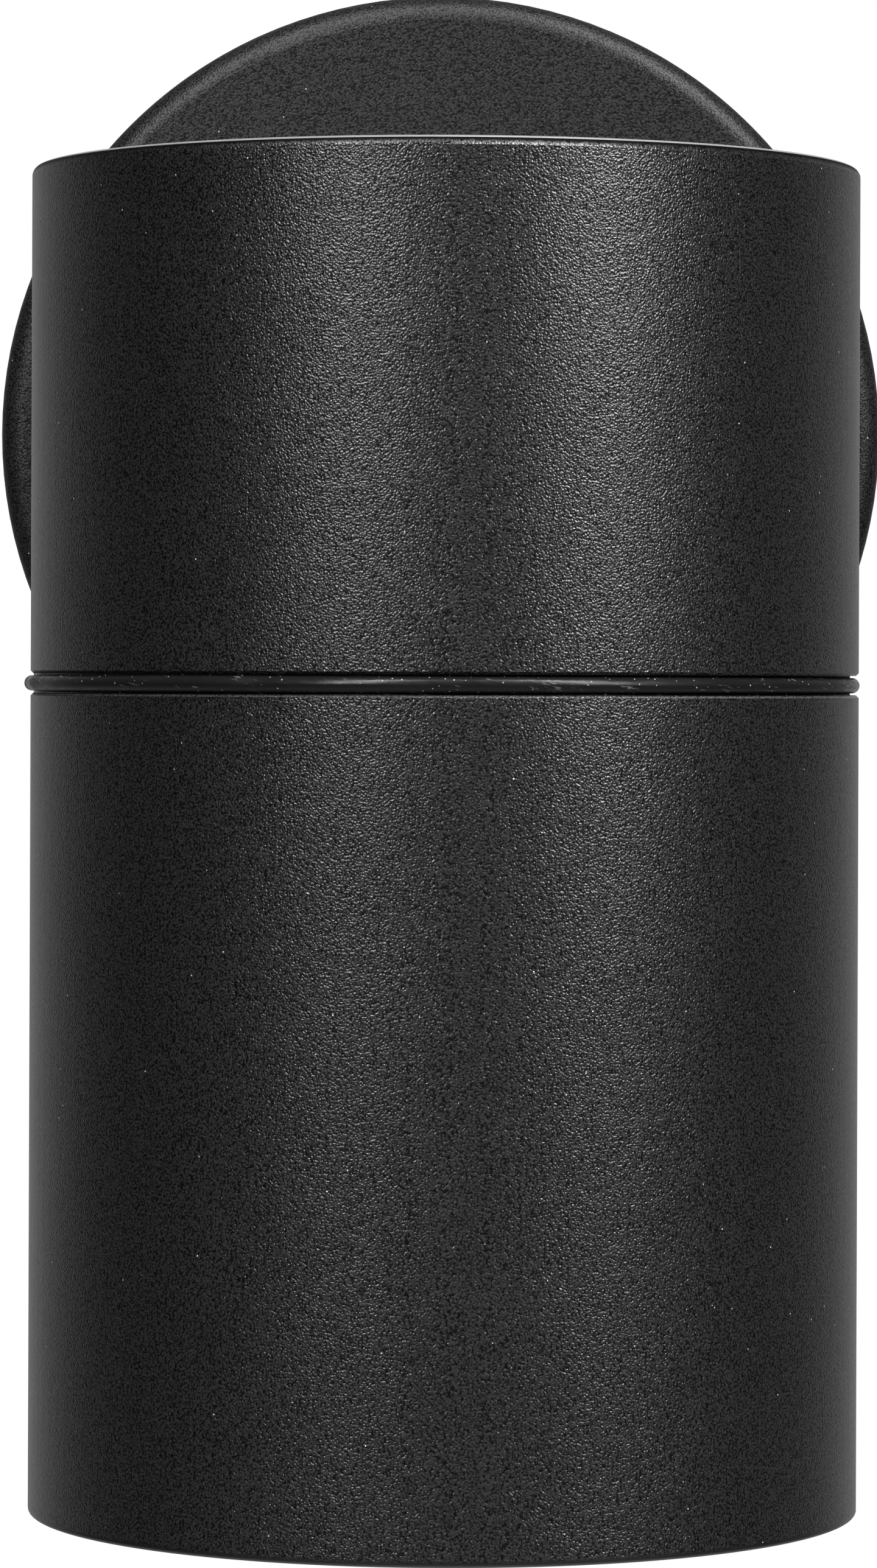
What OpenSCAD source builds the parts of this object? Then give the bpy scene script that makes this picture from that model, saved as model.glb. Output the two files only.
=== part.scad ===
// Outdoor wall downlight: a round tube in two sections, carried by a neck on a round wall plate.
// The wall is the plane y = 0, the light stands off it along -Y, and z = 0 is the middle of the
// wall plate. The lower section pulls off downwards for relamping, and the lamp turns in its holder.

/* [Tube] */
// Outside diameter of both tube sections
tube_d = 90; // [86:1:104]
// Wall of the tube sections
tube_wall = 2.5; // [2.2:0.1:3]
// Height of the upper section
upper_h = 54.9; // [50:0.1:75]
// Length of the lower section
lower_h = 88.7; // [86:0.1:130]
// Thickness of the closed top
top_t = 3; // [2:0.5:6]
// Radius on the outer edge of the closed top
top_edge_r = 1; // [0.6:0.1:1.8]
// Radius on the outer edge of the open mouth
mouth_edge_r = 0.4; // [0.3:0.1:1]
// Small chamfer on the edges beside the joint
joint_chamfer = 0.3; // [0.1:0.1:0.6]

/* [Joint between the sections] */
// Height of the sealing ring between the shoulders
ring_section = 2; // [1.6:0.1:2.6]
// Diameter of the bead round the outside of the ring
ring_bead = 1.5; // [1.2:0.1:1.5]
// Depth of the shadow lines above and below the bead
ring_step = 0.7; // [0.3:0.1:0.8]
// Play between the ring and each shoulder
ring_play = 0.05; // [0.02:0.01:0.1]
// How far the ring stands proud of the tube
ring_proud = 0.3; // [0:0.05:0.4]
// How far the slack ring sits off centre
ring_shift = 0.3; // [0:0.05:0.35]
// Length of the collar inside the lower section
collar_h = 12; // [10:1:16]
// Wall of the collar
collar_wall = 3; // [2.6:0.1:4]
// Radial play between the collar and the bore of the lower section
collar_play = 0.15; // [0.1:0.01:0.2]
// Angle of each set screw from the rear of the tube
set_screw_angle = 60; // [50:1:75]
// Distance of the set screws below the joint
set_screw_down = 6; // [5:0.5:7]

/* [Wall plate and neck] */
// Outside diameter of the wall plate
plate_d = 104.5; // [100:0.5:130]
// Distance from the wall to the front of the plate
plate_h = 22; // [21:1:32]
// Wall of the plate
plate_wall = 2.5; // [2:0.1:3.5]
// Radius on the front edge of the plate
plate_edge_r = 3; // [1:0.5:5]
// Thickness of the foam gasket on the wall
wall_gasket_t = 1.5; // [1:0.1:2.5]
// Diameter of the neck
neck_d = 34; // [32:1:38]
// Gap between the plate and the back of the tube
neck_l = 14; // [12:1:30]
// Height of the neck's axis above the joint
neck_up = 28.5; // [24:0.5:30]
// Thickness of the flat gasket at the neck
neck_gasket_t = 1; // [0.6:0.1:1.5]
// Distance of each neck screw from the neck's axis
neck_screw_x = 11.5; // [11:0.1:12]

/* [Mounting bracket] */
// Thickness of the bracket's sheet
bracket_t = 1.5; // [1:0.1:2]
// Diameter of the bracket's disc
bracket_d = 86; // [80:1:90]
// Distance between the two wall screws
slot_spacing = 60; // [54:1:64]
// Width of a wall screw slot
slot_w = 4.6; // [4:0.1:5.5]
// Length of a wall screw slot, end to end
slot_l = 13; // [8:0.5:16]
// Width of the two bent tabs
tab_w = 12; // [10:1:14]
// Height of the bent tabs above the wall
tab_h = 13; // [12:0.5:15]
// Distance of the plate's grub screws from the wall
grub_y = 8; // [7:0.5:9]
// Bore of the cable grommet
cable_d = 10; // [7:0.5:12]
// Height of the cable entry above the plate's middle
cable_up = 18; // [17:0.5:20]

/* [Lamp] */
// Diameter of the lamp's front
lamp_d = 50; // [48:0.5:52]
// Length of the lamp without its pins
lamp_l = 49.5; // [46:0.5:50]
// Number of cooling fins on the lamp
fin_count = 24; // [12:2:30]
// Distance between the two lamp pins
pin_spacing = 10; // [9.8:0.1:10.4]
// Diameter of a pin's head
pin_head_d = 4.8; // [4.6:0.1:5]
// Diameter of a pin's shank
pin_shank_d = 3; // [2.8:0.1:3.2]
// Turn of the lamp between locked and free
lamp_turn = 45; // [40:1:50]
// Gap between the lamp's front and the glass
lamp_clear = 7.3; // [3:0.1:10]

/* [Lampholder] */
// Diameter of the lampholder over its round ends
holder_d = 34; // [33:0.5:37]
// Width of the lampholder across its flats
holder_w = 22; // [21:0.5:26]
// Height of the lampholder
holder_h = 18; // [16:0.5:19]
// Distance between the lampholder's two screws
holder_screw_spacing = 25; // [24.5:0.1:26]
// Thickness of the bridge that carries the lampholder
bridge_t = 1.5; // [1:0.1:2]
// Width of the bridge
bridge_w = 24; // [20:1:28]
// Height of the bosses above the bridge
boss_h = 13; // [11:0.5:15]
// Length of the bridge's screws
bridge_screw_l = 9.5; // [8:0.5:10]

/* [Front glass] */
// Thickness of the glass
glass_t = 4; // [3:0.5:5]
// Depth of the open mouth below the glass ledge
mouth_h = 7.2; // [3:0.1:8]
// Thickness of the glass ledge
ledge_t = 2; // [1.5:0.5:3]
// Width of the glass ledge
ledge_w = 4; // [3:0.5:6]
// Thickness of the gasket's lips above and below the glass
lip_t = 1; // [0.6:0.1:1.2]
// Thickness of the gasket around the glass edge
rim_t = 1.3; // [1:0.1:1.5]
// Thickness of the retaining ring
clip_t = 1.4; // [1:0.1:1.6]

/* [Terminal block] */
// Distance between two poles
pole_pitch = 10; // [9.5:0.5:11]
// Length of the block along the wires
block_l = 17; // [16:0.5:20]
// Height of the block
block_h = 14; // [12:0.5:15]
// How far the brass clamps lie inside the block's ends
clamp_inset = 2; // [1.5:0.5:3]
// Outside diameter of an insulated lead
lead_d = 2.2; // [1.8:0.1:2.4]

/* [Hidden] */
$fn = 96;

// General clearances
seat = 0.05;          // radial play of a screw in its thread, and of a seal in its seat
clear_hole = 0.25;    // radial play of a screw in a plain hole
run_gap = 0.3;        // gap between the turning lamp and its fixed holder

// Metric screws: radius of the shank and of the head, and height of the head
m3 = [1.5, 2.8, 1.8];
m4 = [2, 3.8, 2.4];

// Tube
tube_r = tube_d / 2;
bore_r = tube_r - tube_wall;
axis_y = -(plate_h + neck_l + tube_r);
joint_z = -neck_up;
top_z = joint_z + upper_h;
joint_gap = ring_section + 2 * ring_play;
lower_top_z = joint_z - joint_gap;
lower_bottom_z = lower_top_z - lower_h;

// Joint
ring_r = tube_r + ring_proud - ring_section / 2;
land_r = ring_r - ring_section / 2 - ring_shift - seat;
collar_r = bore_r - collar_play;
collar_in_r = collar_r - collar_wall;
collar_bottom_z = lower_top_z - collar_h;
shoulder_t = 3;
key_w = 2 * m4[0] + 0.8;
key_depth = 1.3;
set_screw_z = lower_top_z - set_screw_down;
set_screw_sink = 0.3;

// Bosses for the bridge
boss_r = m4[0] + 2.2;
boss_x = collar_in_r - boss_r + 0.6;
web_t = 3;

// Neck
neck_r = neck_d / 2;
neck_end = plate_h + neck_gasket_t;
neck_bore_r = 6;
neck_thread_l = 9;
washer_t = 0.8;

// Wall plate
plate_r = plate_d / 2;
plate_in_r = plate_r - plate_wall;
plate_ceiling = plate_h - plate_wall;
gasket_w = plate_wall - 0.2;

// Bracket
tab_out = sqrt(pow(plate_in_r - 0.3, 2) - pow(tab_w / 2, 2));
cable_hole_r = cable_d / 2 + 4;
grommet_flange_t = 1.2;
grommet_cone_h = 3.5;
grommet_lip = 1.6;
grommet_neck = 0.5;
grommet_rim = 1;

// Terminal block
block_w = 3 * pole_pitch;
block_down = -12;
wire_hole_r = lead_d / 2 + 0.25;
wire_y = bracket_t + block_h * 0.4;
clamp_r = wire_hole_r + 0.9;
well_r = m3[0] + 0.5;
web_z = bracket_t + block_h * 0.45;
web_screw = [m3[0], 2.3, 1.6];

// Earth boss under the closed top
earth_x = -17;
earth_y = axis_y + 12;
earth_boss_h = 6;
earth_boss_z = top_z - top_t - earth_boss_h;
earth_tag_t = 0.8;
earth_barrel_y = earth_y + 6;
earth_barrel_l = 6;
earth_lead_z = earth_boss_z - earth_tag_t / 2 - lead_d / 2;

// Glass stack, from the ledge up
ledge_z = lower_bottom_z + mouth_h + ledge_t;
glass_z = ledge_z + lip_t;
glass_top_z = glass_z + glass_t;
clip_z = glass_top_z + lip_t;
glass_r = bore_r - seat - rim_t;
clip_groove = 1.1;

// Lamp above the glass, its holder above the lamp, and the bridge above the holder
lamp_front_z = glass_top_z + lamp_clear;
lamp_z = lamp_front_z + lamp_l;
holder_z = lamp_z + run_gap;
bridge_z = holder_z + holder_h;
bridge_top_z = bridge_z + bridge_t;
lamp_r = lamp_d / 2;
pin_r = pin_spacing / 2;
pin_play = 0.25;
pin_head_l = 2.2;
slot_floor = 2.2;
chamber_h = 4.6;
pin_head_z = lamp_z + run_gap + slot_floor + 0.05;
contact_t = 0.6;
contact_touch = 0.05;
lamp_base_r = 12.5;
lamp_base_h = 9;
lamp_rim_h = 4.5;
lens_sink = 0.8;
lens_t = 2;
fin_t = 1.4;

// ---------- shared shapes ----------

// Draws its children with x across, y up and z as the distance from the wall.
module from_wall() {
    rotate([90, 0, 0]) children();
}

// Draws its children round the tube's axis.
module on_axis() {
    translate([0, axis_y, 0]) children();
}

// Half-profile of a round bar from z0 to z1 whose upper outer edge is rounded by a radius.
module rounded_top(r, z0, z1, edge) {
    translate([0, z0]) square([r, z1 - z0 - edge]);
    translate([0, z0]) square([r - edge, z1 - z0]);
    translate([r - edge, z1 - edge]) circle(edge);
}

// Half-profile of a round bar from z0 to z1 whose lower outer edge is rounded by a radius.
module rounded_bottom(r, z0, z1, edge) {
    translate([0, z0 + edge]) square([r, z1 - z0 - edge]);
    translate([0, z0]) square([r - edge, z1 - z0]);
    translate([r - edge, z0 + edge]) circle(edge);
}

// Cylinder between two heights, with an optional chamfer at each end.
module bar(r, z0, z1, low = 0, high = 0) {
    rotate_extrude()
        polygon([
            [0, z0], [r - low, z0], [r, z0 + low],
            [r, z1 - high], [r - high, z1], [0, z1]
        ]);
}

// Ring between two radii and two heights.
module ring(inner, outer, z0, z1) {
    difference() {
        translate([0, 0, z0]) cylinder(r = outer, h = z1 - z0);
        translate([0, 0, z0 - 1]) cylinder(r = inner, h = z1 - z0 + 2);
    }
}

// Pan-head screw: its head sits on z = 0 and stands up, and its shank goes down. A cross is cut
// into the head.
module pan_screw(size, length) {
    difference() {
        union() {
            translate([0, 0, -length]) cylinder(r = size[0] - seat, h = length + 0.1);
            intersection() {
                cylinder(r = size[1], h = size[2]);
                translate([0, 0, size[2] - 1.6 * size[1]]) sphere(1.6 * size[1]);
            }
        }
        for (turn = [0, 90])
            rotate(turn)
                translate([-size[1] * 0.55, -size[0] * 0.16, size[2] * 0.45])
                    cube([size[1] * 1.1, size[0] * 0.32, size[2]]);
    }
}

// Headless screw along z, from its point at z = 0 to its socket at the top.
module grub_screw(size, length) {
    r = size[0] - seat;
    point = 1;
    socket_r = size[0] * 0.58;
    difference() {
        union() {
            cylinder(r1 = r - point * 0.8, r2 = r, h = point);
            translate([0, 0, point]) cylinder(r = r, h = length - point);
        }
        translate([0, 0, length * 0.45]) cylinder(r = socket_r, h = length, $fn = 6);
    }
}

// ---------- soft leads ----------

function unit(v) = v / norm(v);
function bend(a, b, c, d, steps) = [
    for (i = [0 : steps])
        let (t = i / steps, u = 1 - t)
            u * u * u * a + 3 * u * u * t * b + 3 * u * t * t * c + t * t * t * d
];
function tangents(path) = [
    for (i = [0 : len(path) - 1])
        unit(path[min(i + 1, len(path) - 1)] - path[max(i - 1, 0)])
];
function flatten_to(normal, tangent) = unit(normal - (normal * tangent) * tangent);
function normals(tangent, start, i = 0) =
    i == len(tangent) ? []
    : let (n = flatten_to(start, tangent[i])) concat([n], normals(tangent, n, i + 1));

// Tube of radius r along a list of points.
module lead(path, r, start = [1, 0, 0]) {
    sides = 8;
    along = tangents(path);
    across = normals(along, start);
    points = [
        for (i = [0 : len(path) - 1], k = [0 : sides - 1])
            path[i] + r * (cos(360 * k / sides) * across[i]
                + sin(360 * k / sides) * cross(along[i], across[i]))
    ];
    last = (len(path) - 1) * sides;
    polyhedron(
        points = points,
        faces = concat(
            [[for (k = [0 : sides - 1]) k]],
            [[for (k = [sides - 1 : -1 : 0]) last + k]],
            [
                for (i = [0 : len(path) - 2], k = [0 : sides - 1])
                    let (n = (k + 1) % sides, a = i * sides)
                        [a + n, a + k, a + sides + k, a + sides + n]
            ]
        ),
        convexity = 8
    );
}

// A lead's way from its pole in the terminal block, up and through the bush in the neck.
// turn is its place in the bundle, as an angle, and pole is -1, 0 or 1.
bundle_r = lead_d * 0.68;
// How far a bend reaches out of the neck, down to the holder, and to the earth terminal
neck_reach = tube_r * 0.62;
drop_reach = tube_r * 0.53;
mouth_reach = 9;
tag_reach = 9;
turn_reach = 6;
function in_bundle(turn, from_wall) =
    [bundle_r * cos(turn), -from_wall, bundle_r * sin(turn)];
function to_bundle(pole, turn) =
    let (
        entry = [pole * pole_pitch, -wire_y, block_down - 5],
        mouth = [pole * pole_pitch, -wire_y, block_down],
        inside = in_bundle(turn, plate_ceiling - 1.5)
    )
    concat(
        [entry],
        bend(mouth, mouth + [0, 0, mouth_reach], inside + [0, mouth_reach, 0], inside, 8),
        [in_bundle(turn, plate_h + neck_l)]
    );
function to_holder(side, turn) =
    let (
        start = in_bundle(turn, plate_h + neck_l + tube_wall + 1),
        finish = [side * holder_lead_x, axis_y, bridge_top_z + 2]
    )
    concat(
        bend(start, start - [0, neck_reach, 0], finish + [0, 0, drop_reach], finish, 10),
        [[side * holder_lead_x, axis_y, bridge_z - 3]]
    );
function to_earth(turn) =
    let (
        start = in_bundle(turn, plate_h + neck_l + tube_wall + 1),
        finish = [earth_x, earth_barrel_y + earth_barrel_l + 0.5, earth_lead_z]
    )
    concat(
        bend(start, start - [0, turn_reach, 0], finish + [0, tag_reach, 0], finish, 10),
        [finish - [0, earth_barrel_l - 1, 0]]
    );
holder_lead_x = 4;

// ---------- wall side ----------

module wall_gasket() {
    color("#2b2b2b")
        from_wall() ring(plate_r - 0.1 - gasket_w, plate_r - 0.1, 0, wall_gasket_t);
}

module mounting_bracket() {
    bend_r = bracket_t;
    color("#b8bcc0")
        from_wall()
            difference() {
                union() {
                    cylinder(d = bracket_d, h = bracket_t);
                    for (side = [-1, 1])
                        scale_x(side) {
                            translate([0, -tab_w / 2, 0]) cube([tab_out - bend_r, tab_w, bracket_t]);
                            translate([tab_out - bend_r, tab_w / 2, bend_r])
                                rotate([90, 0, 0])
                                    intersection() {
                                        cylinder(r = bend_r, h = tab_w);
                                        translate([0, -bend_r, 0]) cube([bend_r, bend_r, tab_w]);
                                    }
                            translate([tab_out - bracket_t, -tab_w / 2, bend_r])
                                cube([bracket_t, tab_w, tab_h - bend_r]);
                        }
                }
                for (side = [-1, 1])
                    translate([side * slot_spacing / 2, 0, -1]) slot_cut();
                translate([0, cable_up, -1]) cylinder(r = cable_hole_r, h = bracket_t + 2);
                for (side = [-1, 1]) {
                    translate([side * pole_pitch / 2, block_down - block_l / 2, -1])
                        cylinder(r = m3[0], h = bracket_t + 2);
                    translate([side * (tab_out - bracket_t - 1), 0, grub_y])
                        rotate([0, side * 90, 0]) cylinder(r = m4[0] + clear_hole, h = bracket_t + 2);
                }
                // Opening under the terminal block, which lightens the disc.
                for (side = [-1, 1])
                    translate([side * bracket_d * 0.27, -bracket_d * 0.27, -1])
                        cylinder(r = 4, h = bracket_t + 2);
            }
}

module scale_x(side) {
    mirror([side < 0 ? 1 : 0, 0, 0]) children();
}

module slot_cut() {
    linear_extrude(bracket_t + 2) {
        square([slot_l - slot_w, slot_w], center = true);
        for (side = [-1, 1])
            translate([side * (slot_l - slot_w) / 2, 0]) circle(d = slot_w);
    }
}

module cable_grommet() {
    color("#1f1f1f")
        from_wall()
            translate([0, cable_up, 0])
                difference() {
                    union() {
                        cylinder(r = cable_hole_r - seat, h = bracket_t);
                        translate([0, 0, bracket_t])
                            cylinder(r = cable_hole_r + grommet_lip, h = grommet_flange_t);
                        translate([0, 0, bracket_t + grommet_flange_t])
                            cylinder(r1 = cable_hole_r - grommet_neck, r2 = cable_d / 2 + grommet_rim, h = grommet_cone_h);
                    }
                    translate([0, 0, -1])
                        cylinder(d = cable_d, h = bracket_t + grommet_flange_t + grommet_cone_h + 2);
                }
}

module terminal_block() {
    color("#e8e6df")
        from_wall()
            difference() {
                union() {
                    for (pole = [-1 : 1])
                        translate([(pole - 0.5) * pole_pitch + 0.4, block_down - block_l, bracket_t]) {
                            cube([pole_pitch - 0.8, block_l, block_h * 0.75]);
                            translate([0, block_l * 0.12, 0])
                                cube([pole_pitch - 0.8, block_l * 0.3, block_h]);
                            translate([0, block_l * 0.58, 0])
                                cube([pole_pitch - 0.8, block_l * 0.3, block_h]);
                        }
                    translate([-block_w / 2 + 0.4, block_down - block_l * 0.7, bracket_t])
                        cube([block_w - 0.8, block_l * 0.4, block_h * 0.45]);
                }
                for (pole = [-1 : 1])
                    translate([pole * pole_pitch, block_down + 1, wire_y])
                        rotate([90, 0, 0]) cylinder(r = clamp_r + seat, h = block_l + 2);
                for (pole = [-1 : 1], end = [-1, 1])
                    translate([pole * pole_pitch, block_down - block_l / 2 + end * block_l * 0.23, wire_y])
                        cylinder(r = well_r, h = block_h);
                for (side = [-1, 1])
                    translate([side * pole_pitch / 2, block_down - block_l / 2, 0]) {
                        cylinder(r = m3[0] + clear_hole, h = block_h);
                        translate([0, 0, web_z]) cylinder(r = web_screw[1] + 0.1, h = block_h);
                    }
            }
}

module terminal_clamps() {
    color("#c8a24a")
        from_wall()
            for (pole = [-1 : 1])
                translate([pole * pole_pitch, block_down - clamp_inset, wire_y])
                    rotate([90, 0, 0])
                        difference() {
                            cylinder(r = clamp_r, h = block_l - 2 * clamp_inset);
                            translate([0, 0, -1]) cylinder(r = wire_hole_r, h = block_l);
                            for (end = [-1, 1])
                                translate([0, 0, (block_l - 2 * clamp_inset) / 2 + end * block_l * 0.23])
                                    rotate([-90, 0, 0]) cylinder(r = m3[0] + seat, h = clamp_r + 1);
                        }
}

module terminal_screws() {
    head_h = m3[2] - 0.4;
    color("#b9bdbf")
        from_wall()
            for (pole = [-1 : 1], end = [-1, 1])
                translate([pole * pole_pitch, block_down - block_l / 2 + end * block_l * 0.23, wire_y])
                    difference() {
                        union() {
                            translate([0, 0, lead_d / 2 + 0.1])
                                cylinder(r = m3[0] - seat, h = clamp_r + 1.6);
                            translate([0, 0, lead_d / 2 + clamp_r + 1.6])
                                cylinder(r = well_r - 0.1, h = head_h);
                        }
                        translate([-well_r, -0.3, lead_d / 2 + clamp_r + 1.6 + head_h * 0.4])
                            cube([2 * well_r, 0.6, head_h]);
                    }
}

module terminal_fixings() {
    color("#b9bdbf")
        from_wall()
            for (side = [-1, 1])
                translate([side * pole_pitch / 2, block_down - block_l / 2, web_z])
                    pan_screw(web_screw, web_z);
}

// ---------- plate and neck ----------

module wall_plate() {
    inner_edge = max(plate_edge_r - plate_wall, 0.3);
    color("#1c1c1e")
        from_wall()
            difference() {
                rotate_extrude()
                    difference() {
                        rounded_top(plate_r, wall_gasket_t, plate_h, plate_edge_r);
                        rounded_top(plate_in_r, wall_gasket_t - 1, plate_ceiling, inner_edge);
                    }
                translate([0, 0, plate_ceiling - 1]) cylinder(r = neck_bore_r, h = plate_wall + 2);
                for (side = [-1, 1]) {
                    translate([side * neck_screw_x, 0, plate_ceiling - 1])
                        cylinder(r = m4[0] + clear_hole, h = plate_wall + 2);
                    translate([side * (plate_in_r - 1), 0, grub_y])
                        rotate([0, side * 90, 0]) cylinder(r = m4[0], h = plate_wall + 2);
                }
            }
}

module plate_grub_screws() {
    length = plate_wall + 4;
    color("#3a3a3c")
        from_wall()
            for (side = [-1, 1])
                scale_x(side)
                    translate([plate_r - 0.4 - length, 0, grub_y])
                        rotate([0, 90, 0]) grub_screw(m4, length);
}

module neck_gasket() {
    color("#2b2b2b")
        from_wall()
            difference() {
                ring(neck_bore_r + 1.2, neck_r - 0.4, plate_h, neck_end);
                for (side = [-1, 1])
                    translate([side * neck_screw_x, 0, plate_h - 1])
                        cylinder(r = m4[0] + clear_hole, h = neck_gasket_t + 2);
            }
}

module neck_screws() {
    length = washer_t + plate_wall + neck_gasket_t + neck_thread_l - 1;
    color("#b9bdbf")
        from_wall()
            for (side = [-1, 1])
                translate([side * neck_screw_x, 0, plate_ceiling - washer_t])
                    mirror([0, 0, 1]) pan_screw(m4, length);
}

module neck_washers() {
    color("#b9bdbf")
        from_wall()
            for (side = [-1, 1])
                translate([side * neck_screw_x, 0, 0])
                    ring(m4[0] + 0.1, m4[1] + 0.5, plate_ceiling - washer_t, plate_ceiling);
}

module lead_bush() {
    hole_r = bundle_r + lead_d / 2 + 0.3;
    color("#1f1f1f")
        from_wall()
            difference() {
                union() {
                    translate([0, 0, plate_ceiling]) cylinder(r = neck_bore_r - seat, h = plate_wall);
                    bar(neck_bore_r + 1, plate_ceiling - 1.2, plate_ceiling, 0.4);
                    bar(neck_bore_r + 1, plate_h, plate_h + neck_gasket_t - 0.1, 0, 0.3);
                }
                translate([0, 0, plate_ceiling - 3]) cylinder(r = hole_r, h = plate_wall + 8);
            }
}

// ---------- tube ----------

module upper_housing() {
    color("#1c1c1e")
        difference() {
            union() {
                on_axis() housing_shell();
                neck();
                on_axis() bridge_bosses();
                translate([earth_x, earth_y, earth_boss_z])
                    cylinder(r = boss_r, h = earth_boss_h + 0.5);
            }
            // Way for the leads through the neck and the tube's wall
            from_wall() cylinder(r = neck_bore_r, h = neck_end + neck_l + tube_wall + 4);
            for (side = [-1, 1]) {
                from_wall()
                    translate([side * neck_screw_x, 0, neck_end - 1])
                        cylinder(r = m4[0], h = neck_thread_l + 1);
                translate([side * boss_x, axis_y, bridge_top_z - 1])
                    cylinder(r = m4[0], h = boss_h - 1);
                on_axis() keyway(side);
            }
            translate([earth_x, earth_y, earth_boss_z - 1]) cylinder(r = m4[0], h = earth_boss_h);
        }
}

module housing_shell() {
    rotate_extrude()
        difference() {
            union() {
                difference() {
                    rounded_top(tube_r, joint_z, top_z, top_edge_r);
                    lower_edge_chamfer();
                }
                translate([0, lower_top_z]) square([land_r, joint_gap + 1]);
                polygon([
                    [0, collar_bottom_z], [collar_r - 1, collar_bottom_z],
                    [collar_r, collar_bottom_z + 1.5], [collar_r, lower_top_z + 0.5],
                    [0, lower_top_z + 0.5]
                ]);
            }
            translate([0, joint_z + shoulder_t])
                square([bore_r, upper_h - shoulder_t - top_t]);
            translate([0, collar_bottom_z - 1])
                square([collar_in_r, joint_z + shoulder_t - collar_bottom_z + 2]);
        }
}

module lower_edge_chamfer() {
    polygon([
        [tube_r - joint_chamfer, joint_z], [tube_r + 1, joint_z - 1],
        [tube_r + 1, joint_z + joint_chamfer + 1], [tube_r, joint_z + joint_chamfer]
    ]);
}

module neck() {
    difference() {
        from_wall()
            translate([0, 0, neck_end]) cylinder(r = neck_r, h = neck_l + tube_wall + 12);
        on_axis() translate([0, 0, joint_z - 5]) cylinder(r = tube_r - tube_wall / 2, h = upper_h);
    }
}

module bridge_bosses() {
    web_z = max(bridge_top_z, joint_z);
    for (side = [-1, 1])
        scale_x(side)
            translate([boss_x, 0, 0]) {
                translate([0, 0, bridge_top_z]) cylinder(r = boss_r, h = boss_h);
                // Webs to the collar below the joint and to the tube's wall above it
                translate([0, -web_t / 2, bridge_top_z])
                    cube([collar_in_r + collar_wall / 2 - boss_x, web_t, boss_h]);
                translate([0, -web_t / 2, web_z])
                    cube([bore_r + tube_wall / 2 - boss_x, web_t, bridge_top_z + boss_h - web_z]);
            }
}

// Upright groove in the collar, open at the bottom, that a set screw's point runs in.
module keyway(side) {
    rotate(90 - side * set_screw_angle)
        translate([collar_r - key_depth, -key_w / 2, collar_bottom_z - 1])
            cube([key_depth + 1, key_w, set_screw_z - collar_bottom_z + 1 + key_w / 2]);
}

module joint_ring() {
    color("#0e0e0f")
        translate([-ring_shift, axis_y, joint_z - joint_gap / 2])
            rotate_extrude() {
                translate([ring_r - ring_section / 2, -ring_section / 2])
                    square([tube_r - ring_step - ring_r + ring_section / 2, ring_section]);
                translate([tube_r + ring_proud - ring_bead / 2, 0]) circle(d = ring_bead);
            }
}

module lower_tube() {
    color("#1c1c1e")
        on_axis()
            difference() {
                rotate_extrude()
                    difference() {
                        rounded_bottom(tube_r, lower_bottom_z, lower_top_z, mouth_edge_r);
                        // Bore above the glass ledge, and the chamfer at the joint
                        translate([0, ledge_z]) square([bore_r, lower_h]);
                        polygon([
                            [tube_r - joint_chamfer, lower_top_z], [tube_r, lower_top_z - joint_chamfer],
                            [tube_r + 1, lower_top_z - joint_chamfer], [tube_r + 1, lower_top_z + 1],
                            [tube_r - joint_chamfer, lower_top_z + 1]
                        ]);
                        // Light opening and the open mouth
                        translate([0, lower_bottom_z - 1]) square([bore_r - ledge_w, lower_h]);
                        translate([0, lower_bottom_z - 1]) square([bore_r, mouth_h + 1]);
                        // Groove of the retaining ring
                        translate([0, clip_z]) square([bore_r + clip_groove, clip_t + 2 * seat]);
                    }
                for (side = [-1, 1])
                    rotate(90 - side * set_screw_angle)
                        translate([bore_r - 1, 0, set_screw_z])
                            rotate([0, 90, 0]) cylinder(r = m4[0], h = tube_wall + 2);
            }
}

module tube_set_screws() {
    tip_r = collar_r - key_depth + 0.2;
    color("#3a3a3c")
        on_axis()
            for (side = [-1, 1])
                rotate(90 - side * set_screw_angle)
                    translate([tip_r, 0, set_screw_z])
                        rotate([0, 90, 0]) grub_screw(m4, tube_r - set_screw_sink - tip_r);
}

// ---------- glass ----------

module front_glass() {
    color("#cfe0e6", 0.4)
        on_axis() bar(glass_r, glass_z, glass_z + glass_t, 0.3, 0.3);
}

module glass_gasket() {
    color("#d9d9d6")
        on_axis()
            difference() {
                ring(bore_r - ledge_w + 0.3, bore_r - seat, ledge_z, clip_z);
                translate([0, 0, glass_z]) cylinder(r = glass_r, h = glass_t);
            }
}

module glass_retaining_ring() {
    gap_angle = 24;
    lug_r = 2.2;
    lug_at = bore_r - lug_r - 0.4;
    color("#6d6f72")
        on_axis()
            translate([0, 0, clip_z + seat])
                rotate(90 + gap_angle / 2) {
                    rotate_extrude(angle = 360 - gap_angle)
                        translate([bore_r - 2, 0]) square([2 + clip_groove - seat, clip_t]);
                    for (turn = [2.5, 360 - gap_angle - 2.5])
                        rotate(turn)
                            difference() {
                                translate([lug_at, 0, 0]) cylinder(r = lug_r, h = clip_t);
                                translate([lug_at, 0, -1]) cylinder(r = 0.9, h = clip_t + 2);
                            }
                }
}

// ---------- lampholder ----------

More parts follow.
